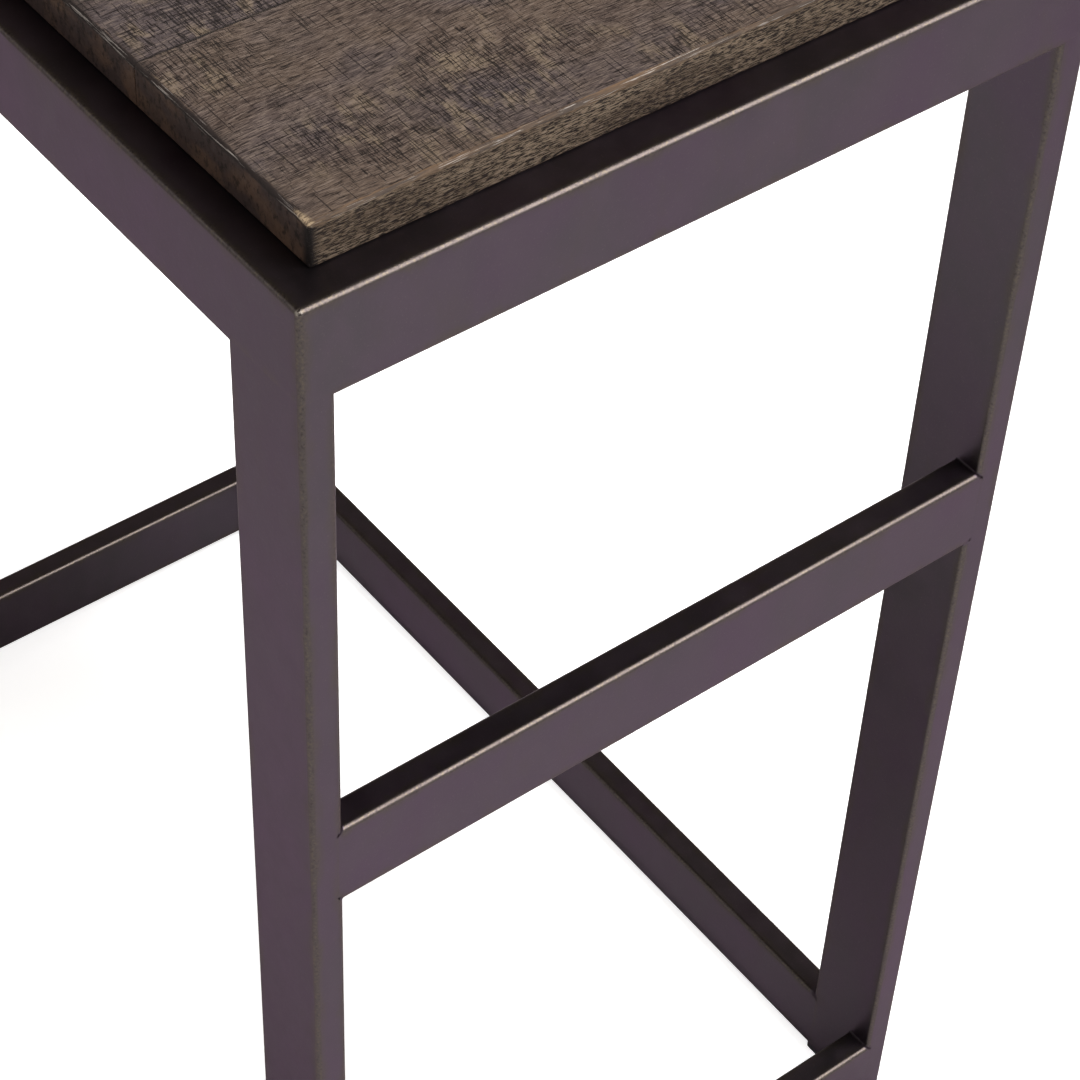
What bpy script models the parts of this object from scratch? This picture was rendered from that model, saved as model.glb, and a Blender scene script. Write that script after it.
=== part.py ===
"""Bar stool with footrest: a welded frame of flat steel tube that carries a plank seat.

Metres, +Z up. The origin lies on the floor below the middle of the seat. X runs along the long side
of the seat, Y along the short side, and the front of the stool faces -Y.
"""
import math

import bmesh
import bpy
from mathutils import Matrix

# Overall sizes
FRAME_LENGTH = 0.495        # along X, over the tubes
FRAME_DEPTH = 0.318         # along Y, over the tubes
SEAT_HEIGHT = 0.6664        # floor to the top of the planks

# Flat tube of the legs, footrests and stretchers
TUBE_WIDE = 0.0381
TUBE_THIN = 0.0127
TUBE_WALL = 0.0015
TUBE_CORNER = 0.002         # outer corner radius
BORE_CORNER = 0.0005        # inner corner radius
CORNER_SEGMENTS = 3

# Tube of the mitred ring under the seat
TOP_RAIL_WIDTH = 0.0254
TOP_RAIL_HEIGHT = 0.0381

# Heights of the cross tubes, floor to their upper faces
FOOTREST_TOP = 0.4134

# Seat planks
SEAT_THICKNESS = 0.016
SEAT_INSET = 0.0132         # outer face of the ring to the edge of the planks
PLANK_COUNT = 5
END_PLANK_WIDTH = 0.091     # the two outer planks, the inner ones share the rest
PLANK_EASE = 0.0007         # rounding of the plank edges

# Flat steel straps under the planks, and the screws through them
STRAP_WIDTH = 0.030
STRAP_THICKNESS = 0.004
STRAP_SPACING = 0.150       # between the middles of the two straps
SCREW_LENGTH = 0.016        # below the head
SCREW_POINT = 0.003
SHANK_RADIUS = 0.002
HEAD_RADIUS = 0.004
HEAD_HEIGHT = 0.0024
SCREW_STEPS = 20

# Plastic glides in the leg ends
GLIDE_SOLE = 0.002
GLIDE_PLUG = 0.018

# Clearances
JOINT_GAP = 0.0003          # between faces that are welded or that rest on each other
CUTTER_REACH = 0.01         # how far a cutter runs past what it cuts

X, Y, Z = 0, 1, 2
FRAME_TOP = SEAT_HEIGHT - SEAT_THICKNESS - JOINT_GAP
FRAME_BOTTOM = GLIDE_SOLE + JOINT_GAP
STRETCHER_TOP = FRAME_BOTTOM + TUBE_WIDE   # level with the ends of the legs
SIDES = {"left": -1, "right": 1}
FACES = {"front": -1, "back": 1}


def clear_scene():
    for item in list(bpy.data.objects):
        bpy.data.objects.remove(item, do_unlink=True)


def new_collection(name):
    collection = bpy.data.collections.new(name)
    bpy.context.scene.collection.children.link(collection)
    return collection


def new_material(name, colour, roughness, metallic):
    material = bpy.data.materials.new(name)
    material.use_nodes = True
    shader = material.node_tree.nodes["Principled BSDF"]
    shader.inputs["Base Color"].default_value = (*colour, 1.0)
    shader.inputs["Roughness"].default_value = roughness
    shader.inputs["Metallic"].default_value = metallic
    return material


def gunmetal():
    return new_material("gunmetal", (0.075, 0.058, 0.068), 0.42, 0.6)


def weathered_wood():
    return new_material("weathered_wood", (0.105, 0.078, 0.060), 0.62, 0.0)


def zinc():
    return new_material("zinc", (0.55, 0.55, 0.53), 0.35, 1.0)


def black_plastic():
    return new_material("black_plastic", (0.02, 0.02, 0.02), 0.55, 0.0)


def rounded_box(size, run, radius):
    """A box about the origin whose four edges along the run axis are rounded."""
    shape = bmesh.new()
    bmesh.ops.create_cube(shape, size=1.0, matrix=Matrix.Diagonal((*size, 1.0)))
    long_edges = [
        edge for edge in shape.edges
        if abs(edge.verts[0].co[run] - edge.verts[1].co[run]) > size[run] / 2
    ]
    bmesh.ops.bevel(
        shape, geom=long_edges, offset=radius, segments=CORNER_SEGMENTS, profile=0.5, affect="EDGES"
    )
    return shape


def mitre_ends(shape, run, across, side, width):
    """Slope both ends at 45 degrees, so that the rail is longest on its outer face."""
    for vert in shape.verts:
        from_outer_face = width / 2 - side * vert.co[across]
        vert.co[run] -= math.copysign(from_outer_face, vert.co[run])


def add_object(name, shape, centre, group):
    mesh = bpy.data.meshes.new(name)
    shape.to_mesh(mesh)
    shape.free()
    item = bpy.data.objects.new(name, mesh)
    item.location = centre
    group["collection"].objects.link(item)
    item.parent = group["parent"]
    return item


def add_part(name, shape, centre, parts, material):
    part = add_object(name, shape, centre, parts)
    part.data.materials.append(material)
    part.data.shade_smooth()
    part.data.set_sharp_from_angle(angle=math.radians(35))
    return part


def add_cutter(name, shape, centre, cutters):
    cutter = add_object(name, shape, centre, cutters)
    cutter.display_type = "WIRE"
    cutter.hide_render = True
    return cutter


def cut(part, cutter):
    boolean = part.modifiers.new(cutter.name, "BOOLEAN")
    boolean.operation = "DIFFERENCE"
    boolean.solver = "EXACT"
    boolean.object = cutter


def hollow_out(part, size, run, centre, cutters):
    """Cut the bore of a tube, which runs out through both of its ends."""
    bore = [length - 2 * TUBE_WALL for length in size]
    bore[run] = size[run] + CUTTER_REACH
    shape = rounded_box(bore, run, BORE_CORNER)
    cut(part, add_cutter(part.name + "_bore", shape, centre, cutters))


def add_tube(name, size, run, centre, parts, cutters, material):
    tube = add_part(name, rounded_box(size, run, TUBE_CORNER), centre, parts, material)
    hollow_out(tube, size, run, centre, cutters)


def add_top_rail(name, size, run, across, side, centre, parts, cutters, material):
    shape = rounded_box(size, run, TUBE_CORNER)
    mitre_ends(shape, run, across, side, TOP_RAIL_WIDTH)
    rail = add_part(name, shape, centre, parts, material)
    hollow_out(rail, size, run, centre, cutters)


def add_top_ring(parts, cutters, material):
    """Four mitred rails. Each is drawn in at the mitres by half of the weld gap."""
    draw_in = JOINT_GAP * math.sqrt(2)
    height = FRAME_TOP - TOP_RAIL_HEIGHT / 2
    long_size = (FRAME_LENGTH - draw_in, TOP_RAIL_WIDTH, TOP_RAIL_HEIGHT)
    short_size = (TOP_RAIL_WIDTH, FRAME_DEPTH - draw_in, TOP_RAIL_HEIGHT)
    for face, side in FACES.items():
        centre = (0, side * (FRAME_DEPTH - TOP_RAIL_WIDTH) / 2, height)
        add_top_rail("top_rail_" + face, long_size, X, Y, side, centre, parts, cutters, material)
    for face, side in SIDES.items():
        centre = (side * (FRAME_LENGTH - TOP_RAIL_WIDTH) / 2, 0, height)
        add_top_rail("top_rail_" + face, short_size, Y, X, side, centre, parts, cutters, material)


def corners():
    """The name of each corner and the middle of the leg that stands there."""
    for face, face_side in FACES.items():
        for end, end_side in SIDES.items():
            x = end_side * (FRAME_LENGTH - TUBE_WIDE) / 2
            y = face_side * (FRAME_DEPTH - TUBE_THIN) / 2
            yield face + "_" + end, x, y


def add_legs(parts, cutters, material):
    bottom = FRAME_BOTTOM
    top = FRAME_TOP - TOP_RAIL_HEIGHT - JOINT_GAP
    size = (TUBE_WIDE, TUBE_THIN, top - bottom)
    for corner, x, y in corners():
        add_tube("leg_" + corner, size, Z, (x, y, (top + bottom) / 2), parts, cutters, material)


def add_side_tubes(name, top, parts, cutters, material):
    """A pair of tubes along Y, one between the legs at each end of the stool."""
    size = (TUBE_THIN, FRAME_DEPTH - 2 * (TUBE_THIN + JOINT_GAP), TUBE_WIDE)
    for end, side in SIDES.items():
        centre = (side * (FRAME_LENGTH - TUBE_THIN) / 2, 0, top - TUBE_WIDE / 2)
        add_tube(name + end, size, Y, centre, parts, cutters, material)


def add_back_stretcher(parts, cutters, material):
    """One low tube along X between the back legs. The front of the stool is left open."""
    size = (FRAME_LENGTH - 2 * (TUBE_WIDE + JOINT_GAP), TUBE_THIN, TUBE_WIDE)
    centre = (0, (FRAME_DEPTH - TUBE_THIN) / 2, STRETCHER_TOP - TUBE_WIDE / 2)
    add_tube("stretcher_back", size, X, centre, parts, cutters, material)


def plank_layout():
    """The middle and the width along X of each plank, from left to right."""
    seat_length = FRAME_LENGTH - 2 * SEAT_INSET
    inner_width = (seat_length - 2 * END_PLANK_WIDTH) / (PLANK_COUNT - 2)
    widths = [END_PLANK_WIDTH] + [inner_width] * (PLANK_COUNT - 2) + [END_PLANK_WIDTH]
    left_edge = -seat_length / 2
    layout = []
    for width in widths:
        layout.append((left_edge + width / 2, width))
        left_edge += width
    return layout


def add_planks(parts, material):
    bottom = FRAME_TOP + JOINT_GAP
    depth = FRAME_DEPTH - 2 * SEAT_INSET
    planks = []
    for number, (middle, width) in enumerate(plank_layout(), start=1):
        shape = rounded_box((width - JOINT_GAP, depth, SEAT_HEIGHT - bottom), Y, PLANK_EASE)
        centre = (middle, 0, (SEAT_HEIGHT + bottom) / 2)
        planks.append(add_part(f"seat_plank_{number}", shape, centre, parts, material))
    return planks


def add_straps(parts, material):
    """Two flat bars along X, welded between the short rails and level with their tops."""
    length = FRAME_LENGTH - 2 * (TOP_RAIL_WIDTH + JOINT_GAP)
    straps = {}
    for face, side in FACES.items():
        shape = bmesh.new()
        size = (length, STRAP_WIDTH, STRAP_THICKNESS, 1.0)
        bmesh.ops.create_cube(shape, size=1.0, matrix=Matrix.Diagonal(size))
        centre = (0, side * STRAP_SPACING / 2, FRAME_TOP - STRAP_THICKNESS / 2)
        straps[face] = add_part("seat_strap_" + face, shape, centre, parts, material)
    return straps


def screw_profile():
    """Half of a pan-head wood screw, point up, from its point down to the middle of its head."""
    edge = HEAD_HEIGHT / 3
    dome = [
        (HEAD_RADIUS * math.cos(angle), -edge - (HEAD_HEIGHT - edge) * math.sin(angle))
        for angle in (math.radians(step) for step in (0, 22.5, 45, 67.5))
    ]
    shank = [(0, SCREW_LENGTH), (SHANK_RADIUS, SCREW_LENGTH - SCREW_POINT), (SHANK_RADIUS, 0)]
    return shank + [(HEAD_RADIUS, 0)] + dome + [(0, -HEAD_HEIGHT)]


def add_screw(name, centre, parts, material):
    shape = bmesh.new()
    points = [shape.verts.new((radius, 0, height)) for radius, height in screw_profile()]
    for upper, lower in zip(points, points[1:]):
        shape.edges.new((upper, lower))
    screw = add_part(name, shape, centre, parts, material)
    turn = screw.modifiers.new("turn", "SCREW")
    turn.axis = "Z"
    turn.steps = SCREW_STEPS
    turn.render_steps = SCREW_STEPS
    turn.use_merge_vertices = True
    turn.merge_threshold = 0.00001


def add_screw_hole(name, x, y, seat, cutters):
    """A cutter for the strap's clearance hole and the plank's blind hole, JOINT_GAP over the screw."""
    bottom = seat - CUTTER_REACH
    top = seat + SCREW_LENGTH + JOINT_GAP
    radius = SHANK_RADIUS + JOINT_GAP
    shape = bmesh.new()
    bmesh.ops.create_cone(
        shape, cap_ends=True, segments=SCREW_STEPS, radius1=radius, radius2=radius, depth=top - bottom
    )
    return add_cutter(name, shape, (x, y, (top + bottom) / 2), cutters)


def fasten_seat(planks, straps, parts, cutters, material):
    """One screw through each strap into each plank."""
    seat = FRAME_TOP - STRAP_THICKNESS - JOINT_GAP
    for face, strap in straps.items():
        y = FACES[face] * STRAP_SPACING / 2
        for number, plank in enumerate(planks, start=1):
            x = plank.location.x
            name = f"seat_screw_{face}_{number}"
            add_screw(name, (x, y, seat), parts, material)
            hole = add_screw_hole(name + "_hole", x, y, seat, cutters)
            cut(strap, hole)
            cut(plank, hole)


def add_glides(parts, cutters, material):
    """A sole as large as the leg's section, with a plug that stands in the leg's bore."""
    margin = 2 * (TUBE_WALL + JOINT_GAP)
    plug_size = (TUBE_WIDE - margin, TUBE_THIN - margin, GLIDE_PLUG + GLIDE_SOLE / 2)
    for corner, x, y in corners():
        name = "glide_" + corner
        sole = rounded_box((TUBE_WIDE, TUBE_THIN, GLIDE_SOLE), Z, TUBE_CORNER)
        glide = add_part(name, sole, (x, y, GLIDE_SOLE / 2), parts, material)
        plug_middle = (GLIDE_SOLE / 2 + GLIDE_SOLE + GLIDE_PLUG) / 2
        plug = add_cutter(name + "_plug", rounded_box(plug_size, Z, BORE_CORNER), (x, y, plug_middle), cutters)
        join = glide.modifiers.new("plug", "BOOLEAN")
        join.operation = "UNION"
        join.solver = "EXACT"
        join.object = plug


def build():
    clear_scene()
    stool = bpy.data.objects.new("stool", None)
    parts = {"collection": new_collection("bar_stool"), "parent": stool}
    cutters = {"collection": new_collection("cutters"), "parent": stool}
    parts["collection"].objects.link(stool)
    metal = gunmetal()
    add_top_ring(parts, cutters, metal)
    add_legs(parts, cutters, metal)
    add_side_tubes("footrest_", FOOTREST_TOP, parts, cutters, metal)
    add_side_tubes("stretcher_", STRETCHER_TOP, parts, cutters, metal)
    add_back_stretcher(parts, cutters, metal)
    straps = add_straps(parts, metal)
    planks = add_planks(parts, weathered_wood())
    fasten_seat(planks, straps, parts, cutters, zinc())
    add_glides(parts, cutters, black_plastic())


build()
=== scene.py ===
"""The looks of the bar stool: ground and welded steel tube, rough-sawn planks, a pale studio."""

import math

import bmesh
import bpy
import numpy as np
from mathutils import Matrix, Quaternion, Vector, noise


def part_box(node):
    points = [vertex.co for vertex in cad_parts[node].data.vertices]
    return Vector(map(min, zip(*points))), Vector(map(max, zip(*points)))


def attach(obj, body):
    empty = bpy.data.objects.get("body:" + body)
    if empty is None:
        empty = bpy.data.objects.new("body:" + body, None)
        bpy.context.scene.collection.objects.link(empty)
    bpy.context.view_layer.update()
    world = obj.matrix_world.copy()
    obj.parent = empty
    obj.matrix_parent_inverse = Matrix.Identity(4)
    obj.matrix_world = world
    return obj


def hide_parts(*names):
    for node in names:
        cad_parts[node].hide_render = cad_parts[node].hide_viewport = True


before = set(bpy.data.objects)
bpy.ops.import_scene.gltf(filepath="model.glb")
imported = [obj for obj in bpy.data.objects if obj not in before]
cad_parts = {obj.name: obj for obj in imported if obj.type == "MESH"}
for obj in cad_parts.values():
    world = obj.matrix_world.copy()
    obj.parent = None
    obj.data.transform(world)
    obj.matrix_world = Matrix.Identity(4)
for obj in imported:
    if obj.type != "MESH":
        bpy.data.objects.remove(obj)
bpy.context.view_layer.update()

# Steel tube, in metres
TUBE_CORNER = 0.002         # radius of the rounded edges
EDGE_SEGMENTS = 5
WELD_GAP = 0.0003           # the gap that the CAD solids keep at a weld
WELD_REACH = WELD_GAP + TUBE_CORNER
RUB_REACH = 0.0055          # how far the brown of the rubbed edges fades out over a face
EDGE_RUB = 0.35             # how rubbed a flat is where it meets its rounded edge
CORNER_INSET = 0.4 * TUBE_CORNER  # how far inside the box the ring's rounded corners lie
BARE_REACH = 0.00128        # bright steel around the ring's top corners
BARE_FADE = 0.0008          # the outer part of that reach, where the lacquer comes back
LONG_FILLET = 0.0035        # weld fillets in the long sides of the frame
SHORT_FILLET = 0.0012       # and in the short sides

# Hidden hardware, in metres
HARDWARE_EDGE = 0.0006
SCREW_EDGE = 0.0002

# Seat planks, in metres
SEAT_EDGE = 0.0016          # wear of the panel's outer edges
JOINT_EDGE = 0.0004         # edges at a glued joint
LOWER_EDGE = 0.0007         # edges of the underside
GLUE_GAP = 0.00015
CHIP_SIZE = (0.0085, 0.0028, 0.0014)
CHIP_DEPTH = 0.0005
SMEAR_WIDTH = 0.0034        # stain along the end edges of the top
THIN_SMEAR = 0.0004         # the same stain at its narrowest
SMUDGE_WIDTH = 0.0024       # grime on the end grain by the panel's corners
SMUDGE_INSET = 0.0006       # how far from the corner's edge the grime is centred
SMUDGE_TOP = 0.0012         # depth where the grime starts
SMUDGE_FADE = 0.0006        # and over which it thickens

# Spacing of a plank's mesh, in metres
WORN_STEPS = (0.0, 0.0002, 0.0005, 0.0009, 0.0014, 0.002, 0.0028, 0.004)
TIGHT_STEPS = (0.0, 0.00012, 0.00025, 0.0006)
FACE_STEP = 0.0025
HEIGHT_STEP = 0.002

# How far apart the planks' patterns lie, and how fine the unevenness of each kind of wear is
SEED_STEP = (3.1, 1.7, 5.3)
PLANK_SEED = 1.37
WEAR_SCALE = 90.0
SMEAR_SCALE = 60.0
CHIP_SCALE = 300.0

# Meshing
SMOOTH_ANGLE = math.radians(50)
PLANE_TOLERANCE = 1e-7
MERGE_REACH = 0.00001
SLANT = 1e-6                # an edge that rises more than this across an axis isn't parallel to it

# Tones of the lacquered steel, of what shows where it is rubbed, and a painted shade for the upward-facing
# weld creases
STEEL_VIOLET = (0.076, 0.056, 0.076)
STEEL_GREY = (0.070, 0.060, 0.069)
STEEL_CLOUD = (0.082, 0.065, 0.080)
STEEL_SPECKLE = (0.15, 0.13, 0.12)
STEEL_BROWN = (0.074, 0.063, 0.058)
STEEL_GRAIN = (0.118, 0.098, 0.072)
STEEL_PIT = (0.034, 0.028, 0.027)
# painted shade: darkens the upward-facing weld fillets, in the crease where a tube's top meets a leg
STEEL_CREASE_SHADE = (0.018, 0.014, 0.015)
STEEL_BARE = (0.46, 0.42, 0.37)
STEEL_GLANCE = (0.62, 0.55, 0.60)

# Stain and bare tones of the planks
WOOD_BROWN = (0.040, 0.0285, 0.0245)
WOOD_TAN = (0.062, 0.044, 0.033)
WOOD_GREY = (0.043, 0.0345, 0.0365)
WOOD_PALE = (0.112, 0.086, 0.070)
WOOD_BARE = (0.125, 0.094, 0.064)
WOOD_DARK = (0.009, 0.0065, 0.006)
WOOD_CUT = (0.005, 0.004, 0.004)
SIDE_BROWN = (0.125, 0.089, 0.061)
SIDE_PALE = (0.27, 0.205, 0.145)
SIDE_PORE = (0.012, 0.009, 0.008)
SIDE_FIBRE = (0.34, 0.28, 0.22)
END_BROWN = (0.036, 0.024, 0.022)
END_RUST = (0.072, 0.043, 0.030)
END_PORE = (0.008, 0.006, 0.005)
FILLER = (0.42, 0.38, 0.33)
KNOT = (0.012, 0.009, 0.008)
RIM_OCHRE = (0.098, 0.062, 0.037)
RIM_GLAZE = (0.045, 0.034, 0.028)
RIM_SCRATCH = (0.27, 0.24, 0.215)
END_RIM_OCHRE = (0.020, 0.015, 0.013)
END_RIM_GLAZE = (0.012, 0.009, 0.008)
GRIME = (0.010, 0.008, 0.008)
CHIP_BROWN = (0.085, 0.060, 0.040)
CHIP_PALE = (0.24, 0.18, 0.115)

# Tones of the hidden hardware
ZINC_BRIGHT = (0.50, 0.50, 0.48)
ZINC_DULL = (0.34, 0.33, 0.30)
PLASTIC_BLACK = (0.018, 0.018, 0.019)
PLASTIC_SCUFF = (0.06, 0.058, 0.055)

# Camera, from the ring's near top corner
CAMERA_FROM_CORNER = Vector((0.5371, -0.3532, 0.5661))
CAMERA_LOOK = Vector((-0.5393, 0.4468, -0.7137))
CAMERA_ROLL = math.radians(2.95)
CAMERA_LENS = 101.9

# Studio
STUDIO_AIM = Vector((0.1, 0.0, 0.45))
WHITE = (1.0, 1.0, 1.0)
WARM_WHITE = (1.0, 0.97, 0.94)
CEILING_TINT = (1.0, 0.86, 0.72)
CEILING_GLOW = 0.19
FLOOR_RADIUS = 14.0
FLOOR_DROP = 0.0002         # how far the floor lies below the glides
FLOOR_GLOW = 0.75           # light that the floor adds where it is seen directly
FLOOR_TONES = ((0.80, 0.80, 0.80), (0.82, 0.82, 0.82))

ENDS = {"left": -1, "right": 1}
FACES = {"front": -1, "back": 1}


# ---------------------------------------------------------------- node trees


class Nodes:
    """Adds nodes to one node tree. A value may be a number, a colour or another node's socket."""

    def __init__(self, tree):
        self.tree = tree

    def add(self, kind, values=None, **settings):
        node = self.tree.nodes.new(kind)
        for name, value in settings.items():
            setattr(node, name, value)
        for socket, value in (values or {}).items():
            if isinstance(value, bpy.types.NodeSocket):
                self.tree.links.new(value, node.inputs[socket])
            else:
                node.inputs[socket].default_value = value
        return node

    def place(self):
        """The point's place in the stool's own frame."""
        return self.add("ShaderNodeTexCoord").outputs["Object"]

    def attribute(self, name):
        return self.add("ShaderNodeAttribute", attribute_name=name).outputs["Fac"]

    def facing(self):
        """How squarely the surface faces along X, Y and Z: three numbers from 0 to 1."""
        normal = self.add("ShaderNodeNewGeometry").outputs["Normal"]
        size = self.add("ShaderNodeVectorMath", {0: normal}, operation="ABSOLUTE").outputs[0]
        return self.add("ShaderNodeSeparateXYZ", {0: size}).outputs

    def scaled(self, vector, scale):
        return self.add("ShaderNodeVectorMath", {0: vector, 1: scale}, operation="MULTIPLY").outputs[0]

    def shifted(self, vector, offset):
        return self.add("ShaderNodeVectorMath", {0: vector, 1: offset}, operation="ADD").outputs[0]

    def noise(self, vector, seed=0.0, detail=2.0, roughness=0.5, distortion=0.0):
        values = {"Vector": vector, "W": seed, "Scale": 1.0, "Detail": detail}
        values.update({"Roughness": roughness, "Distortion": distortion})
        return self.add("ShaderNodeTexNoise", values, noise_dimensions="4D").outputs[0]

    def spots(self, vector, reach):
        """One round spot in each cell: 1 at its middle, 0 at reach, and the cell's random number."""
        cells = self.add("ShaderNodeTexVoronoi", {"Vector": vector, "Scale": 1.0})
        spot = self.remap(cells.outputs["Distance"], reach, 0.0)
        pick = self.add("ShaderNodeSeparateColor", {0: cells.outputs["Color"]}).outputs[0]
        return spot, pick

    def remap(self, value, low, high, to_low=0.0, to_high=1.0):
        values = {"Value": value, "From Min": low, "From Max": high, "To Min": to_low, "To Max": to_high}
        node = self.add("ShaderNodeMapRange", values, interpolation_type="SMOOTHSTEP", clamp=True)
        return node.outputs[0]

    def maths(self, operation, first, second=0.0):
        return self.add("ShaderNodeMath", {0: first, 1: second}, operation=operation).outputs[0]

    def plus(self, first, second):
        return self.maths("ADD", first, second)

    def times(self, *factors):
        """The product of two or more numbers."""
        product = factors[0]
        for factor in factors[1:]:
            product = self.maths("MULTIPLY", product, factor)
        return product

    def mix(self, factor, first, second, blend="MIX"):
        """A colour between two others."""
        node = self.add("ShaderNodeMix", data_type="RGBA", blend_type=blend)
        for index, value in ((0, factor), (6, first), (7, second)):
            if isinstance(value, bpy.types.NodeSocket):
                self.tree.links.new(value, node.inputs[index])
            elif index == 0:
                node.inputs[index].default_value = value
            else:
                node.inputs[index].default_value = (*value, 1.0)
        return node.outputs[2]

    def blend(self, factor, first, second):
        """A number between two others."""
        return self.add("ShaderNodeMix", {0: factor, 2: first, 3: second}, data_type="FLOAT").outputs[0]

    def bump(self, height, distance, strength=1.0):
        values = {"Height": height, "Distance": distance, "Strength": strength}
        return self.add("ShaderNodeBump", values).outputs[0]


def new_material(name):
    material = bpy.data.materials.new(name)
    material.use_nodes = True
    return material, Nodes(material.node_tree), material.node_tree.nodes["Principled BSDF"]


def link(nodes, shader, **sockets):
    for name, value in sockets.items():
        nodes.tree.links.new(value, shader.inputs[name.replace("_", " ")])


# ---------------------------------------------------------------- materials


def gunmetal():
    """Dark lacquered steel: violet, browner and speckled where it is rubbed at the edges, with painted
    shade in the upward-facing weld creases.
    """
    material, nodes, shader = new_material("gunmetal_steel")
    place = nodes.place()
    cloudy = nodes.noise(nodes.scaled(place, (75, 75, 50)), detail=4, roughness=0.6)
    speckle = nodes.noise(nodes.scaled(place, (1500, 1500, 1500)), detail=2)
    peel = nodes.noise(nodes.scaled(place, (420, 420, 420)), detail=2)
    grainy = nodes.noise(nodes.scaled(place, (1100, 1100, 900)), detail=2)
    patchy = nodes.noise(nodes.scaled(place, (90, 90, 34)), detail=3, roughness=0.7)
    rubbed = nodes.plus(nodes.attribute("wear"), nodes.remap(patchy, 0.3, 0.7, -0.22, 0.22))
    worn_through = nodes.remap(rubbed, 0.2, 0.9)
    grains = nodes.times(worn_through, nodes.remap(grainy, 0.50, 0.64))
    pits = nodes.times(worn_through, nodes.remap(grainy, 0.44, 0.34))

    colour = lacquer(nodes, place, cloudy, speckle)
    colour = nodes.mix(nodes.times(nodes.remap(rubbed, 0.05, 0.6), 0.85), colour, STEEL_BROWN)
    colour = nodes.mix(nodes.times(grains, 0.55), colour, STEEL_GRAIN)
    colour = nodes.mix(nodes.times(pits, 0.6), colour, STEEL_PIT)
    # painted shade: darkens the upward-facing weld fillets, standing in for the shade in the crease where a
    # tube's top meets a leg
    colour = nodes.mix(nodes.times(nodes.attribute("crease_shade"), 0.85), colour, STEEL_CREASE_SHADE)
    bare = nodes.times(nodes.attribute("bare"), nodes.remap(grainy, 0.40, 0.55))
    colour = nodes.mix(bare, colour, STEEL_BARE)

    gloss = nodes.remap(cloudy, 0.25, 0.75, 0.36, 0.44)
    relief = nodes.plus(nodes.times(peel, 0.6), nodes.times(speckle, 0.4))
    relief = nodes.plus(relief, nodes.times(grains, 0.4))
    link(nodes, shader, Base_Color=colour, Roughness=gloss, Normal=nodes.bump(relief, 0.000035))
    shader.inputs["Metallic"].default_value = 1.0
    shader.inputs["Specular Tint"].default_value = (*STEEL_GLANCE, 1.0)
    return material


def lacquer(nodes, place, cloudy, speckle):
    """Colour of the untouched lacquer."""
    broad = nodes.noise(nodes.scaled(place, (16, 16, 11)), detail=3)
    violet = nodes.mix(nodes.remap(broad, 0.38, 0.62), STEEL_VIOLET, STEEL_GREY)
    clouded = nodes.mix(nodes.remap(cloudy, 0.3, 0.75), violet, STEEL_CLOUD)
    return nodes.mix(nodes.remap(speckle, 0.60, 0.74, 0.0, 0.30), clouded, STEEL_SPECKLE)


def plank_wood():
    """Rough-sawn plank, stained grey-brown. The grain runs along Y and the saw marks across it."""
    material, nodes, shader = new_material("sawn_plank")
    place = nodes.place()
    seed = nodes.attribute("plank")
    across, along, up = nodes.facing()
    is_end = nodes.remap(along, 0.25, 0.6)
    is_side = nodes.remap(across, 0.5, 0.85)
    is_top = nodes.remap(up, 0.75, 0.95)
    not_end = nodes.maths("SUBTRACT", 1.0, is_end)
    patch = nodes.remap(nodes.noise(nodes.scaled(place, (21, 13, 21)), seed, detail=2), 0.44, 0.60)
    grain_place = wandering(nodes, place, seed)
    streak = nodes.noise(nodes.scaled(grain_place, (420, 34, 420)), seed, detail=3, roughness=0.6)
    fibre = nodes.noise(nodes.scaled(grain_place, (1900, 150, 1900)), seed, detail=3, roughness=0.7)
    hair = nodes.noise(nodes.scaled(grain_place, (3000, 300, 3000)), seed, detail=2, roughness=0.7)
    pore = nodes.noise(nodes.scaled(grain_place, (2500, 330, 2500)), seed, detail=3, roughness=0.7)
    cuts = nodes.times(saw_marks(nodes, place, seed, patch), is_top)

    colour = stain(nodes, place, grain_place, seed, patch)
    colour = grained(nodes, colour, streak, fibre, hair)
    colour = nodes.mix(nodes.times(cuts, 0.85), colour, WOOD_CUT)
    colour = nodes.mix(nodes.times(is_side, 0.92), colour, open_side(nodes, place, seed, pore))
    colour = nodes.mix(nodes.times(is_end, 0.95), colour, end_grain(nodes, place, seed))
    colour = speckled(nodes, place, colour, not_end, is_top)
    colour = rimmed(nodes, place, seed, colour, along)
    colour = nodes.mix(nodes.times(nodes.attribute("smudge"), 0.9), colour, GRIME)
    chip_tone = nodes.mix(nodes.remap(fibre, 0.42, 0.58), CHIP_BROWN, CHIP_PALE)
    colour = nodes.mix(nodes.times(nodes.attribute("chip"), 0.9), colour, chip_tone)

    relief = nodes.plus(nodes.times(fibre, 0.6), nodes.times(hair, 0.35))
    relief = nodes.plus(nodes.times(relief, not_end), nodes.times(streak, 0.3))
    relief = nodes.plus(relief, nodes.times(pore, is_side, 1.3))
    relief = nodes.maths("SUBTRACT", relief, cuts)
    roughness = nodes.remap(streak, 0.3, 0.7, 0.68, 0.52)
    link(nodes, shader, Base_Color=colour, Roughness=roughness, Normal=nodes.bump(relief, 0.00025))
    shader.inputs["Specular IOR Level"].default_value = 0.1
    return material


def wandering(nodes, place, seed):
    """The place, swayed a little to each side along the plank, so that the grain isn't ruler-straight."""
    wave = nodes.noise(nodes.scaled(place, (9, 11, 9)), seed, detail=1)
    sway = nodes.add("ShaderNodeCombineXYZ", {"X": nodes.remap(wave, 0.2, 0.8, -0.004, 0.004)})
    return nodes.shifted(place, sway.outputs[0])


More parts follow.
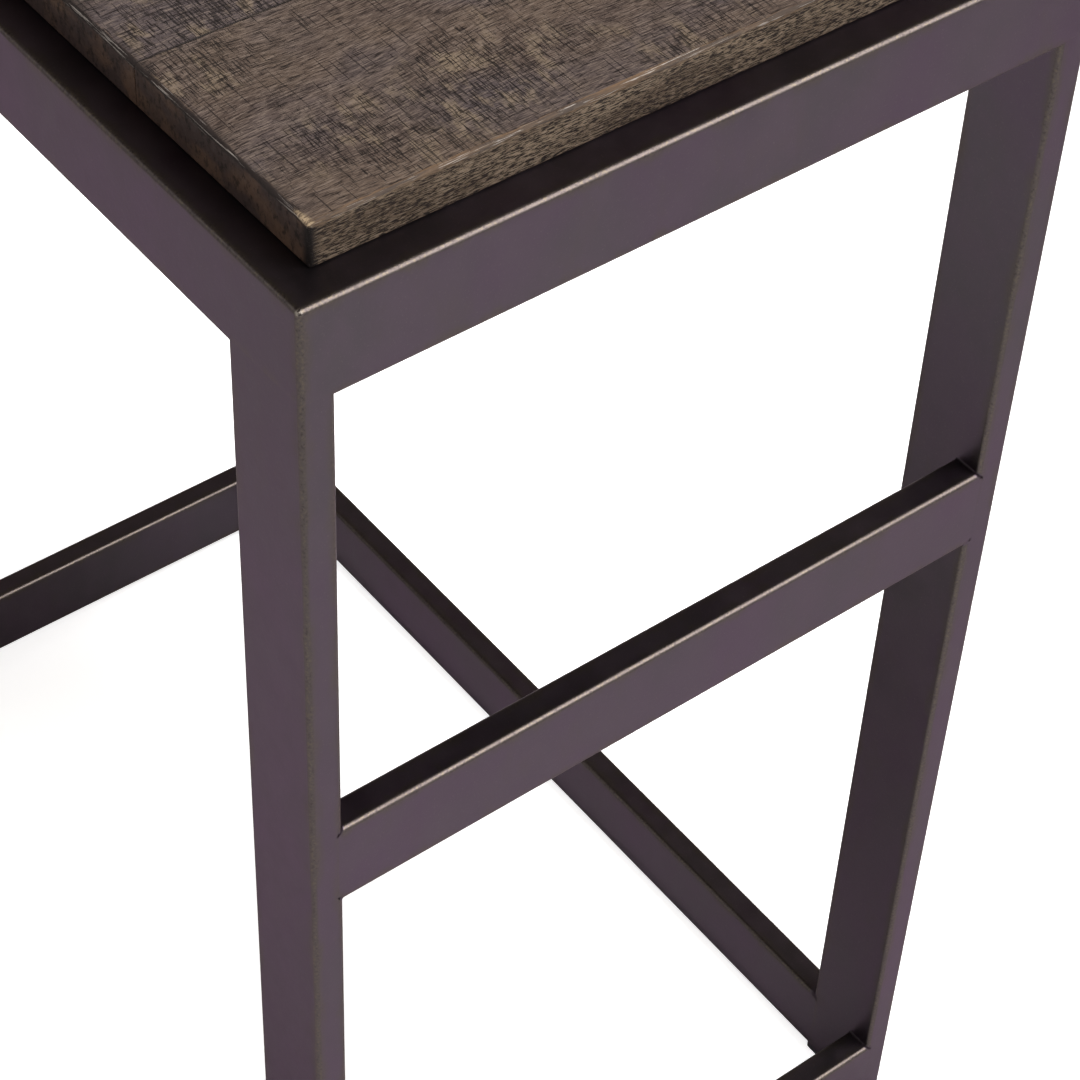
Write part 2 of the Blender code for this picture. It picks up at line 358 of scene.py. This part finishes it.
def stain(nodes, place, grain_place, seed, patch):
    """Brown, with greyer and more tan areas, and bare wood in the roughest patches."""
    tone = nodes.noise(nodes.scaled(grain_place, (34, 12, 34)), seed, detail=5, roughness=0.6)
    grey_tone = nodes.noise(nodes.scaled(place, (24, 18, 24)), seed, detail=3)
    bare = nodes.noise(nodes.scaled(place, (70, 150, 70)), seed, detail=3, roughness=0.6)
    colour = nodes.mix(nodes.remap(tone, 0.36, 0.66), WOOD_BROWN, WOOD_TAN)
    colour = nodes.mix(nodes.remap(grey_tone, 0.46, 0.64, 0.0, 0.8), colour, WOOD_GREY)
    return nodes.mix(nodes.times(patch, nodes.remap(bare, 0.5, 0.64), 0.75), colour, WOOD_BARE)


def grained(nodes, colour, streak, fibre, hair):
    """Broad streaks, fibres and hair-fine pores over the stain."""
    colour = nodes.mix(nodes.remap(streak, 0.54, 0.72, 0.0, 0.4), colour, WOOD_TAN)
    colour = nodes.mix(nodes.remap(streak, 0.46, 0.3, 0.0, 0.45), colour, WOOD_DARK)
    colour = nodes.mix(nodes.remap(fibre, 0.53, 0.62, 0.0, 0.6), colour, WOOD_PALE)
    colour = nodes.mix(nodes.remap(fibre, 0.47, 0.39, 0.0, 0.9), colour, WOOD_DARK)
    colour = nodes.mix(nodes.remap(hair, 0.54, 0.66, 0.0, 0.5), colour, WOOD_PALE)
    return nodes.mix(nodes.remap(hair, 0.47, 0.36, 0.0, 0.75), colour, WOOD_DARK)


def saw_marks(nodes, place, seed, patch):
    """Lines along X, dense in patches and stray elsewhere."""
    fine_line = nodes.noise(nodes.scaled(place, (150, 2300, 150)), seed, detail=1)
    fine_cut = nodes.remap(nodes.plus(fine_line, nodes.times(patch, 0.12)), 0.695, 0.74)
    wide_line = nodes.noise(nodes.scaled(place, (150, 1050, 150)), seed, detail=2)
    wide_cut = nodes.times(nodes.remap(wide_line, 0.56, 0.63), patch, 0.75)
    lone_line = nodes.noise(nodes.scaled(place, (42, 1700, 42)), seed, detail=0)
    lone_cut = nodes.times(nodes.remap(lone_line, 0.71, 0.75), 0.8)
    return nodes.maths("MAXIMUM", nodes.maths("MAXIMUM", fine_cut, wide_cut), lone_cut)


def open_side(nodes, place, seed, pore):
    """Pale wood with open fibres, on the long edges."""
    age = nodes.noise(nodes.scaled(place, (60, 22, 90)), seed, detail=3)
    colour = nodes.mix(nodes.remap(age, 0.35, 0.65), SIDE_BROWN, SIDE_PALE)
    colour = nodes.mix(nodes.remap(pore, 0.55, 0.45), colour, SIDE_PORE)
    return nodes.mix(nodes.remap(pore, 0.60, 0.66, 0.0, 0.7), colour, SIDE_FIBRE)


def end_grain(nodes, place, seed):
    """Dark end grain with brown patches."""
    pore = nodes.noise(nodes.scaled(place, (520, 520, 300)), seed, detail=4, roughness=0.75)
    tone = nodes.noise(nodes.scaled(place, (70, 70, 110)), seed, detail=3)
    colour = nodes.mix(nodes.remap(tone, 0.4, 0.65), END_BROWN, END_RUST)
    return nodes.mix(nodes.remap(pore, 0.5, 0.38, 0.0, 0.8), colour, END_PORE)


def speckled(nodes, place, colour, not_end, is_top):
    """Specks of pale filler, and small dark knots."""
    spot, pick = nodes.spots(nodes.scaled(place, (80, 80, 80)), 0.045)
    pale = nodes.times(spot, nodes.remap(pick, 0.80, 0.81), not_end)
    pit_place = nodes.scaled(nodes.shifted(place, (0.3, 0.1, 0)), (30, 42, 30))
    pit, pit_pick = nodes.spots(pit_place, 0.035)
    dark = nodes.times(pit, nodes.remap(pit_pick, 0.78, 0.79), is_top)
    colour = nodes.mix(nodes.times(pale, 0.8), colour, FILLER)
    return nodes.mix(nodes.times(dark, 0.9), colour, KNOT)


def rimmed(nodes, place, seed, colour, along):
    """The rim: ochre where the stain wore thin, then dark, with long pale scratches."""
    rim = nodes.attribute("wear")
    end_rim = nodes.remap(along, 0.02, 0.15)
    rough = nodes.noise(nodes.scaled(place, (260, 40, 500)), seed, detail=3, roughness=0.7)
    ochre = nodes.times(nodes.remap(rim, 0.0, 0.25), nodes.remap(rough, 0.35, 0.6, 0.2, 0.9))
    colour = nodes.mix(ochre, colour, nodes.mix(end_rim, RIM_OCHRE, END_RIM_OCHRE))
    glaze = nodes.times(nodes.remap(rim, 0.3, 0.8), nodes.remap(rough, 0.6, 0.4, 0.3, 0.9))
    colour = nodes.mix(glaze, colour, nodes.mix(end_rim, RIM_GLAZE, END_RIM_GLAZE))
    side_scratch = nodes.noise(nodes.scaled(place, (2300, 60, 2300)), seed, detail=3, roughness=0.6)
    end_scratch = nodes.noise(nodes.scaled(place, (60, 2300, 2300)), seed, detail=3, roughness=0.6)
    scratch = nodes.blend(end_rim, side_scratch, end_scratch)
    scratched = nodes.times(nodes.remap(rim, 0.15, 0.6), nodes.remap(scratch, 0.56, 0.61))
    return nodes.mix(nodes.times(scratched, 0.7), colour, RIM_SCRATCH)


def zinc_plate():
    """Bright zinc, with the faint crystals of the plating."""
    material, nodes, shader = new_material("zinc_plate")
    place = nodes.place()
    crystal = nodes.noise(nodes.scaled(place, (900, 900, 900)), detail=3)
    dull = nodes.noise(nodes.scaled(place, (160, 160, 160)), detail=3)
    colour = nodes.mix(nodes.remap(dull, 0.35, 0.7), ZINC_BRIGHT, ZINC_DULL)
    roughness = nodes.remap(crystal, 0.3, 0.7, 0.28, 0.45)
    link(nodes, shader, Base_Color=colour, Roughness=roughness, Normal=nodes.bump(crystal, 0.00003))
    shader.inputs["Metallic"].default_value = 1.0
    return material


def glide_plastic():
    """Moulded black polyethylene with scuffs from the floor."""
    material, nodes, shader = new_material("glide_plastic")
    place = nodes.place()
    texture = nodes.noise(nodes.scaled(place, (1400, 1400, 1400)), detail=2)
    scuff = nodes.noise(nodes.scaled(place, (500, 70, 900)), detail=3, roughness=0.7)
    colour = nodes.mix(nodes.remap(scuff, 0.55, 0.7), PLASTIC_BLACK, PLASTIC_SCUFF)
    roughness = nodes.remap(scuff, 0.4, 0.7, 0.45, 0.7)
    link(nodes, shader, Base_Color=colour, Roughness=roughness, Normal=nodes.bump(texture, 0.00003))
    return material


# ---------------------------------------------------------------- steel frame


def add_piece(name, shape, material, slot, *replaced):
    """Makes a piece of the stool from a bmesh, with its finish and the CAD nodes that it stands for."""
    mesh = bpy.data.meshes.new(name)
    shape.to_mesh(mesh)
    shape.free()
    mesh.materials.append(material)
    piece = bpy.data.objects.new(name, mesh)
    bpy.context.scene.collection.objects.link(piece)
    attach(piece, "root")
    if replaced:
        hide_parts(*replaced)
    return piece


def smooth_edges(piece):
    """Rounded edges shade smooth and the flats between them stay flat."""
    piece.data.shade_smooth()
    piece.data.set_sharp_from_angle(angle=SMOOTH_ANGLE)
    flats = piece.modifiers.new("flats", "WEIGHTED_NORMAL")
    flats.keep_sharp = True
    flats.weight = 100


def wear_at(depths):
    """How rubbed a point is, from its depths below the faces around it: 1 at the middle of an edge."""
    near, far = sorted(depths)[:2]
    if far < TUBE_CORNER:
        return 1 - (1 - EDGE_RUB) * min(1.0, (far - near) / TUBE_CORNER)
    return EDGE_RUB * max(0.0, (RUB_REACH - far) / (RUB_REACH - TUBE_CORNER))


def mark_wear(shape, depths_of):
    wear = shape.verts.layers.float.new("wear")
    for vert in shape.verts:
        vert[wear] = wear_at(depths_of(vert.co))


def mark_bare(shape, corners):
    """Bright steel where the lacquer is gone from sharp corners."""
    bare = shape.verts.layers.float.new("bare")
    for vert in shape.verts:
        away = min((vert.co - corner).length for corner in corners)
        vert[bare] = min(1.0, max(0.0, (BARE_REACH - away) / BARE_FADE))


def slice_at(shape, place, normal, cut_off=False):
    """Adds a loop of edges in a plane, and may cut off all that lies beyond it."""
    geometry = shape.verts[:] + shape.edges[:] + shape.faces[:]
    bmesh.ops.bisect_plane(
        shape, geom=geometry, plane_co=place, plane_no=normal, clear_outer=cut_off, dist=PLANE_TOLERANCE
    )


def slice_box(shape, low, high, axes, reach):
    """Adds loops of edges at this depth below the faces of a box, where the wear has faded out."""
    for axis in axes:
        normal = Vector([float(axis == other) for other in range(3)])
        slice_at(shape, low + normal * reach, normal)
        slice_at(shape, high - normal * reach, normal)


def box_shape(low, high):
    shape = bmesh.new()
    size = high - low
    matrix = Matrix.Translation((low + high) / 2) @ Matrix.Diagonal((*size, 1.0))
    bmesh.ops.create_cube(shape, size=1.0, matrix=matrix)
    return shape


def bevel(shape, edges, radius=TUBE_CORNER, segments=EDGE_SEGMENTS):
    bmesh.ops.bevel(shape, geom=edges, offset=radius, segments=segments, profile=0.5, affect="EDGES")


def close(shape):
    """Fills the open ends."""
    rim = [edge for edge in shape.edges if edge.is_boundary]
    bmesh.ops.holes_fill(shape, edges=rim, sides=0)


def add_tube(node, run, material, reach_low=WELD_REACH, reach_high=WELD_REACH):
    """A straight tube. It runs into its neighbours far enough to fill the rounded edge at the weld."""
    low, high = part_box(node)
    low[run] -= reach_low
    high[run] += reach_high
    shape = box_shape(low, high)
    ends = [face for face in shape.faces if abs(face.normal[run]) > 0.5]
    bmesh.ops.delete(shape, geom=ends, context="FACES_ONLY")
    bevel(shape, [edge for edge in shape.edges if not edge.is_boundary])
    sides = [axis for axis in range(3) if axis != run]
    slice_box(shape, low, high, sides, RUB_REACH)
    mark_wear(shape, lambda place: [min(place[a] - low[a], high[a] - place[a]) for a in sides])
    close(shape)
    smooth_edges(add_piece(node + "_steel", shape, material, "gunmetal", node))


def ring_box():
    names = ["top_rail_" + side for side in (*FACES, *ENDS)]
    boxes = [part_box(name) for name in names]
    low = Vector([min(box[0][axis] for box in boxes) for axis in range(3)])
    high = Vector([max(box[1][axis] for box in boxes) for axis in range(3)])
    return low, high


def ring_shape(low, high, width):
    """The whole ring as one loop of rectangular section, rounded along all its edges and corners."""
    shape = bmesh.new()
    border = Vector((width, width, 0))
    loops = []
    for near, far in ((low, high), (low + border, high - border)):
        for height in (low.z, high.z):
            corners = ((near.x, near.y), (far.x, near.y), (far.x, far.y), (near.x, far.y))
            loops.append([shape.verts.new((x, y, height)) for x, y in corners])
    outer_bottom, outer_top, inner_bottom, inner_top = loops
    round_section = (outer_bottom, outer_top, inner_top, inner_bottom)
    for first, second in zip(round_section, (*round_section[1:], round_section[0])):
        for here in range(4):
            after = (here + 1) % 4
            shape.faces.new((first[here], first[after], second[after], second[here]))
    inner_corners = set(inner_bottom + inner_top)
    inner_posts = [edge for edge in shape.edges if set(edge.verts) <= inner_corners and is_upright(edge)]
    flat_edges = [edge for edge in shape.edges if is_mitre(edge)] + inner_posts
    bevel(shape, [edge for edge in shape.edges if edge not in flat_edges])
    return shape


def ring_depths(place, low, high, width):
    """Depths of a point below the ring's outer, inner, upper and lower faces."""
    outer = [min(place[axis] - low[axis], high[axis] - place[axis]) for axis in (0, 1)]
    inner = width - min(outer)
    return [*outer, inner, min(place.z - low.z, high.z - place.z)]


def is_mitre(edge):
    """Whether an edge runs across a corner of the ring."""
    run = edge.verts[1].co - edge.verts[0].co
    return min(abs(run.x), abs(run.y)) > SLANT


def is_upright(edge):
    run = edge.verts[1].co - edge.verts[0].co
    return abs(run.z) > SLANT


def add_ring(material):
    """The four mitred rails of the ring under the seat's rim."""
    low, high = ring_box()
    rail_low, rail_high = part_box("top_rail_front")
    width = rail_high.y - rail_low.y
    xs = (low.x + CORNER_INSET, high.x - CORNER_INSET)
    ys = (low.y + CORNER_INSET, high.y - CORNER_INSET)
    top_corners = [Vector((x, y, high.z - CORNER_INSET)) for x in xs for y in ys]
    for side, outward in (("front", (0, -1)), ("back", (0, 1)), ("left", (-1, 0)), ("right", (1, 0))):
        shape = ring_shape(low, high, width)
        slice_box(shape, low, high, (0, 1, 2), RUB_REACH)
        slice_box(shape, low, high, (0, 1), width - RUB_REACH)
        mark_wear(shape, lambda place: ring_depths(place, low, high, width))
        mark_bare(shape, top_corners)
        cut_mitres(shape, low, high, outward)
        node = "top_rail_" + side
        smooth_edges(add_piece(node + "_steel", shape, material, "gunmetal", node))


def cut_mitres(shape, low, high, outward):
    """Keeps the rail on the outward side of the ring, between the two mitre planes at its ends."""
    out = Vector((*outward, 0))
    for end in (-1, 1):
        along = Vector((outward[1] * end, -outward[0] * end, 0))
        corner = Vector([high[axis] if along[axis] + out[axis] > 0 else low[axis] for axis in (0, 1)] + [0])
        slice_at(shape, corner, along - out, cut_off=True)
    close(shape)


def sunk(place, low, high):
    """How far the flat of a tube from low to high has fallen away at this place, near a rounded edge."""
    past = TUBE_CORNER - min(place - low, high - place)
    if past <= 0:
        return 0.0
    return TUBE_CORNER - math.sqrt(max(TUBE_CORNER**2 - past**2, 0.0))


def weld_stations(low, high):
    """Places across a weld, closer together where the tubes' edges turn away."""
    turns = [math.pi / 2 * step / EDGE_SEGMENTS for step in range(EDGE_SEGMENTS + 1)]
    steps = [TUBE_CORNER * (1 - math.cos(turn)) for turn in turns]
    return [low + step for step in steps] + [high - step for step in reversed(steps)]


def fillet_shape(shape, joint, radius):
    """A ground weld in the angle between the face of a leg and the face of the tube that meets it.
    Upward-facing fillets carry a painted shade.
    """
    crease_shade = shape.verts.layers.float["crease_shade"]
    inward, away, across = joint["inward"], joint["away"], joint["across"]
    low = max(joint["leg"][0], joint["tube"][0])
    high = min(joint["leg"][1], joint["tube"][1])
    rows = []
    for station in weld_stations(low, high):
        leg_sink = sunk(station, *joint["leg"])
        tube_sink = sunk(station, *joint["tube"])
        base = joint["corner"] + across * station - inward * leg_sink - away * tube_sink
        row = [shape.verts.new(base - (inward + away) * TUBE_CORNER / 2)]
        for step in range(EDGE_SEGMENTS + 2):
            turn = math.pi / 2 * step / (EDGE_SEGMENTS + 1)
            hollow = (1 - math.cos(turn)) * inward + (1 - math.sin(turn)) * away
            vert = shape.verts.new(base + radius * hollow)
            # painted shade: strongest at the middle of an upward-facing fillet, none on the downward-facing
            # ones
            vert[crease_shade] = math.sin(2 * turn) if away.z > 0 else 0.0
            row.append(vert)
        rows.append(row)
    for row, after in zip(rows, rows[1:]):
        for here in range(len(row)):
            there = (here + 1) % len(row)
            shape.faces.new((row[here], row[there], after[there], after[here]))
    shape.faces.new(rows[0])
    shape.faces.new(list(reversed(rows[-1])))


def add_welds(name, joints, radius, material):
    """The fillets of one side of the frame, in one piece. The open front has none."""
    if not joints:
        return
    shape = bmesh.new()
    shape.verts.layers.float.new("crease_shade")
    for joint in joints:
        fillet_shape(shape, joint, radius)
    bmesh.ops.recalc_face_normals(shape, faces=shape.faces)
    smooth_edges(add_piece(name, shape, material, "gunmetal"))


def leg_joints(leg, run, end, tubes):
    """The corners that the tubes of one side of the frame make with a leg. They run along axis run."""
    leg_low, leg_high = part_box(leg)
    sideways = 1 - run
    inward = Vector((0, 0, 0))
    inward[run] = -end
    across = Vector((0, 0, 0))
    across[sideways] = 1
    joints = []
    for tube in tubes:
        low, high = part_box(tube)
        for height, away in ((high.z, Vector((0, 0, 1))), (low.z, Vector((0, 0, -1)))):
            if height > leg_high.z or height < leg_low.z + TUBE_CORNER:
                continue
            corner = Vector((0, 0, height))
            corner[run] = leg_low[run] if end > 0 else leg_high[run]
            joint = {"corner": corner, "inward": inward, "away": away, "across": across}
            joint["leg"] = (leg_low[sideways], leg_high[sideways])
            joint["tube"] = (low[sideways], high[sideways])
            joints.append(joint)
    return joints


def add_steel(material):
    add_ring(material)
    stretchers = [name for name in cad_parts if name.startswith("stretcher_")]
    for face in FACES:
        tubes = ["top_rail_" + face] + [name for name in stretchers if name == "stretcher_" + face]
        joints = []
        for end, side in ENDS.items():
            leg = f"leg_{face}_{end}"
            add_tube(leg, 2, material, reach_low=0.0)
            joints += leg_joints(leg, 0, side, tubes)
        add_welds("weld_" + face, joints, LONG_FILLET, material)
    for end in ENDS:
        tubes = ["top_rail_" + end, "footrest_" + end, "stretcher_" + end]
        joints = []
        for face, side in FACES.items():
            joints += leg_joints(f"leg_{face}_{end}", 1, side, tubes)
        add_welds("weld_" + end, joints, SHORT_FILLET, material)
        add_tube("footrest_" + end, 1, material)
    for name in stretchers:
        low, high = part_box(name)
        add_tube(name, 0 if high.x - low.x > high.y - low.y else 1, material)


# ---------------------------------------------------------------- seat


def graded(low, high, worn_low, worn_high, coarse=FACE_STEP):
    """Stations from low to high, close together at the ends, and more of them where the edge is worn."""
    start = [low + step for step in (WORN_STEPS if worn_low else TIGHT_STEPS)]
    stop = [high - step for step in reversed(WORN_STEPS if worn_high else TIGHT_STEPS)]
    count = max(2, round((stop[0] - start[-1]) / coarse))
    middle = np.linspace(start[-1], stop[0], count + 1)[1:-1]
    return np.array(start + list(middle) + stop)


def grid_box(xs, ys, zs):
    """The six faces of a box, divided at the given stations."""
    shape = bmesh.new()
    sides = ((xs, ys, zs, (0, 1, 2)), (ys, zs, xs, (1, 2, 0)), (zs, xs, ys, (2, 0, 1)))
    for first, second, third, axes in sides:
        for level, flip in ((third[0], True), (third[-1], False)):
            rows = []
            for one in first:
                row = []
                for two in second:
                    place = [0.0, 0.0, 0.0]
                    place[axes[0]] = one
                    place[axes[1]] = two
                    place[axes[2]] = level
                    row.append(shape.verts.new(place))
                rows.append(row)
            for row, after in zip(rows, rows[1:]):
                for here in range(len(row) - 1):
                    corners = (row[here], after[here], after[here + 1], row[here + 1])
                    shape.faces.new(reversed(corners) if flip else corners)
    bmesh.ops.remove_doubles(shape, verts=shape.verts, dist=MERGE_REACH)
    return shape


def round_edge(points, wall, other, radius):
    """Moves the points near the edge between two walls onto a quarter circle.

    A wall is its axis, the side of the plank that it is on, and its place on the axis.
    Returns how worn each point is, from 0 to 1.
    """
    axis_a, side_a, face_a = wall
    axis_b, side_b, face_b = other
    depth_a = side_a * (face_a - points[:, axis_a])
    depth_b = side_b * (face_b - points[:, axis_b])
    near = (depth_a < radius) & (depth_b < radius)
    arm_a = radius - depth_a
    arm_b = radius - depth_b
    length = np.maximum(np.hypot(arm_a, arm_b), 1e-9)
    shrink = np.where(near & (length > radius), radius / length, 1.0)
    points[:, axis_a] = np.where(near, face_a - side_a * (radius - arm_a * shrink), points[:, axis_a])
    points[:, axis_b] = np.where(near, face_b - side_b * (radius - arm_b * shrink), points[:, axis_b])
    lean = np.minimum(arm_a, arm_b) / radius
    return np.where(near, np.clip(lean * 2.0, 0.0, 1.0), 0.0)


def ragged(points, seed, scale, low, high):
    """A size that varies along the wood, from low to high."""
    shift = Vector([seed * step for step in SEED_STEP])
    values = [noise.fractal(Vector(point) * scale + shift, 0.6, 2.0, 3) for point in points]
    share = np.clip(np.array(values) * 0.9 + 0.5, 0.0, 1.0)
    return low + (high - low) * share


def round_plank(points, number, low, high, is_first, is_last):
    """Rounds all the edges. Returns how worn each point is, and how close it is to a joint's edge."""
    worn = ragged(points, number, WEAR_SCALE, SEAT_EDGE * 0.8, SEAT_EDGE * 1.25)
    tight = np.full(len(points), JOINT_EDGE)
    under = np.full(len(points), LOWER_EDGE)
    wear = np.zeros(len(points))
    seam = np.zeros(len(points))
    top = (2, 1, high.z)
    bottom = (2, -1, low.z)
    left = ((0, -1, low.x), worn if is_first else tight, is_first)
    right = ((0, 1, high.x), worn if is_last else tight, is_last)
    for wall, radius, is_outer in (left, right):
        rub = round_edge(points, wall, top, radius)
        round_edge(points, wall, bottom, np.minimum(radius, LOWER_EDGE))
        if is_outer:
            wear = np.maximum(wear, rub)
        else:
            seam = np.maximum(seam, rub)
    for end in ((1, -1, low.y), (1, 1, high.y)):
        wear = np.maximum(wear, round_edge(points, end, top, worn))
        round_edge(points, end, bottom, under)
        for wall, radius, is_outer in (left, right):
            rub = round_edge(points, wall, end, radius)
            if is_outer:
                wear = np.maximum(wear, rub)
    return wear, seam


def add_plank(node, number, low, high, is_first, is_last, material):
    xs = graded(low.x, high.x, is_first, is_last)
    ys = graded(low.y, high.y, True, True)
    zs = graded(low.z, high.z, True, True, coarse=HEIGHT_STEP)
    shape = grid_box(xs, ys, zs)
    points = np.array([vert.co for vert in shape.verts])
    wear, seam = round_plank(points, number, low, high, is_first, is_last)
    outer_walls = [wall for wall, is_outer in ((low.x, is_first), (high.x, is_last)) if is_outer]
    bare, grime = chips(points, low, high, outer_walls, number)
    smear = end_smear(points, low, high, number)
    grime = np.maximum.reduce([grime, smear * (1 - bare), seam])
    for vert, point in zip(shape.verts, points):
        vert.co = point
    seed = np.full(len(points), number * PLANK_SEED)
    for name, values in (("wear", wear), ("chip", bare), ("smudge", grime), ("plank", seed)):
        layer = shape.verts.layers.float.new(name)
        for vert, value in zip(shape.verts, values):
            vert[layer] = value
    piece = add_piece(node + "_sawn", shape, material, "weathered_wood", node)
    piece.data.shade_smooth()


def end_smear(points, low, high, number):
    """Stain that gathered along the end edges of the top."""
    inward = np.minimum(points[:, 1] - low.y, high.y - points[:, 1])
    width = ragged(points, number + 23, SMEAR_SCALE, THIN_SMEAR, SMEAR_WIDTH)
    on_top = np.clip((points[:, 2] - high.z) / SEAT_EDGE + 1.2, 0.0, 1.0)
    return 0.6 * on_top * np.clip(1.6 - inward / width, 0.0, 1.0)


def chips(points, low, high, walls, number):
    """Knocks a little off the panel's corners. Returns where bare wood shows, and where grime sits."""
    bare = np.zeros(len(points))
    grime = np.zeros(len(points))
    rough = ragged(points, number + 11, CHIP_SCALE, 0.3, 1.0)
    for wall in walls:
        for face in (low.y, high.y):
            away = np.abs(points - np.array([wall, face, high.z]))
            bite = np.clip(1.2 - np.sqrt(((away / CHIP_SIZE) ** 2).sum(axis=1)), 0.0, 1.0)
            points[:, 2] -= CHIP_DEPTH * bite * rough
            bare = np.maximum(bare, np.clip(bite * (0.5 + rough) * 3.0 - 0.6, 0.0, 1.0))
            aside = np.hypot(away[:, 0] - SMUDGE_INSET, away[:, 1])
            beside = np.clip(1.5 - aside / SMUDGE_WIDTH, 0.0, 1.0)
            below = np.clip((away[:, 2] - SMUDGE_TOP) / SMUDGE_FADE, 0.0, 1.0)
            grime = np.maximum(grime, beside * below)
    return bare, grime


def add_seat(material):
    """The planks, drawn together until the gaps between them look like glued joints."""
    planks = sorted(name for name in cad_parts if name.startswith("seat_plank_"))
    for number, node in enumerate(planks, start=1):
        low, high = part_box(node)
        is_first = number == 1
        is_last = number == len(planks)
        closing = (WELD_GAP - GLUE_GAP) / 2
        low.x -= 0.0 if is_first else closing
        high.x += 0.0 if is_last else closing
        add_plank(node, number, low, high, is_first, is_last, material)


# ---------------------------------------------------------------- hidden hardware


def finish_cad_nodes(steel, zinc, plastic):
    """The straps, screws and glides keep their CAD solids and get their finish and softened edges."""
    strap_look = ("seat_strap", steel, HARDWARE_EDGE)
    screw_look = ("seat_screw", zinc, SCREW_EDGE)
    glide_look = ("glide", plastic, HARDWARE_EDGE)
    for name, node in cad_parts.items():
        for start, material, edge in (strap_look, screw_look, glide_look):
            if name.startswith(start):
                node.data.materials.clear()
                node.data.materials.append(material)
                soften(node, edge)


def soften(node, width):
    edges = node.modifiers.new("edges", "BEVEL")
    edges.width = width
    edges.segments = 2
    edges.limit_method = "ANGLE"
    edges.angle_limit = SMOOTH_ANGLE


# ---------------------------------------------------------------- studio


def add_floor():
    """A pale floor. Seen directly it is paler still, so the stool's shadow stays faint on it."""
    place = (0, 0, -FLOOR_DROP)
    bpy.ops.mesh.primitive_circle_add(vertices=96, radius=FLOOR_RADIUS, fill_type="NGON", location=place)
    floor = bpy.context.object
    floor.name = "studio_floor"
    material, nodes, shader = new_material("pale_floor")
    cloud = nodes.noise(nodes.scaled(nodes.place(), (2, 2, 2)), detail=2)
    colour = nodes.mix(nodes.remap(cloud, 0.3, 0.7), *FLOOR_TONES)
    seen = nodes.times(nodes.add("ShaderNodeLightPath").outputs["Is Camera Ray"], FLOOR_GLOW)
    link(nodes, shader, Base_Color=colour, Emission_Strength=seen)
    shader.inputs["Emission Color"].default_value = (*WHITE, 1.0)
    shader.inputs["Roughness"].default_value = 0.9
    shader.inputs["Specular IOR Level"].default_value = 0.1
    floor.data.materials.append(material)


def add_softbox(name, place, size, power, tint=WHITE, lights=True, mirrored=True):
    """A square area light aimed at the stool. It may light only, or only be mirrored in the surfaces."""
    light = bpy.data.lights.new(name, "AREA")
    light.shape = "SQUARE"
    light.size = size
    light.energy = power
    light.color = tint
    lamp = bpy.data.objects.new(name, light)
    lamp.location = place
    lamp.rotation_mode = "QUATERNION"
    lamp.rotation_quaternion = (STUDIO_AIM - Vector(place)).to_track_quat("-Z", "Y")
    lamp.visible_diffuse = lights
    lamp.visible_glossy = mirrored
    bpy.context.scene.collection.objects.link(lamp)


def add_world():
    """Pale at the horizon and dark overhead, as in a studio with a white cove and a black ceiling."""
    world = bpy.data.worlds.new("studio")
    bpy.context.scene.world = world
    world.use_nodes = True
    nodes = Nodes(world.node_tree)
    background = world.node_tree.nodes["Background"]
    direction = nodes.add("ShaderNodeTexCoord").outputs["Generated"]
    height = nodes.add("ShaderNodeSeparateXYZ", {0: direction}).outputs["Z"]
    glow = nodes.remap(height, 0.06, 0.42, 1.0, CEILING_GLOW)
    tint = nodes.mix(nodes.remap(height, 0.1, 0.45), WHITE, CEILING_TINT)
    link(nodes, background, Strength=glow, Color=tint)
    bpy.context.scene.view_settings.view_transform = "Standard"


def add_lights():
    """Three soft lights that the metal doesn't mirror, and two bright panels that it only mirrors."""
    add_softbox("overhead", (0.25, 0.3, 2.9), size=0.9, power=106, mirrored=False)
    add_softbox("key", (1.9, 0.3, 1.8), size=1.0, power=14, tint=WARM_WHITE, mirrored=False)
    add_softbox("fill", (-0.4, -1.9, 1.9), size=1.0, power=11, mirrored=False)
    add_softbox("rim_right", (2.0, 1.15, 2.0), size=2.2, power=150, tint=WARM_WHITE, lights=False)
    add_softbox("rim_front", (-1.1, -1.9, 1.6), size=0.8, power=3, lights=False)


def add_camera():
    low, high = ring_box()
    corner = Vector((high.x, low.y, high.z))
    lens = bpy.data.cameras.new("camera")
    lens.lens = CAMERA_LENS
    lens.clip_start = 0.05
    lens.clip_end = 60.0
    camera = bpy.data.objects.new("camera", lens)
    camera.location = corner + CAMERA_FROM_CORNER
    camera.rotation_mode = "QUATERNION"
    aim = CAMERA_LOOK.to_track_quat("-Z", "Y")
    camera.rotation_quaternion = aim @ Quaternion((0, 0, 1), CAMERA_ROLL)
    bpy.context.scene.collection.objects.link(camera)
    bpy.context.scene.camera = camera


add_camera()
add_world()
add_lights()
add_floor()
steel_finish = gunmetal()
add_steel(steel_finish)
add_seat(plank_wood())
finish_cad_nodes(steel_finish, zinc_plate(), glide_plastic())
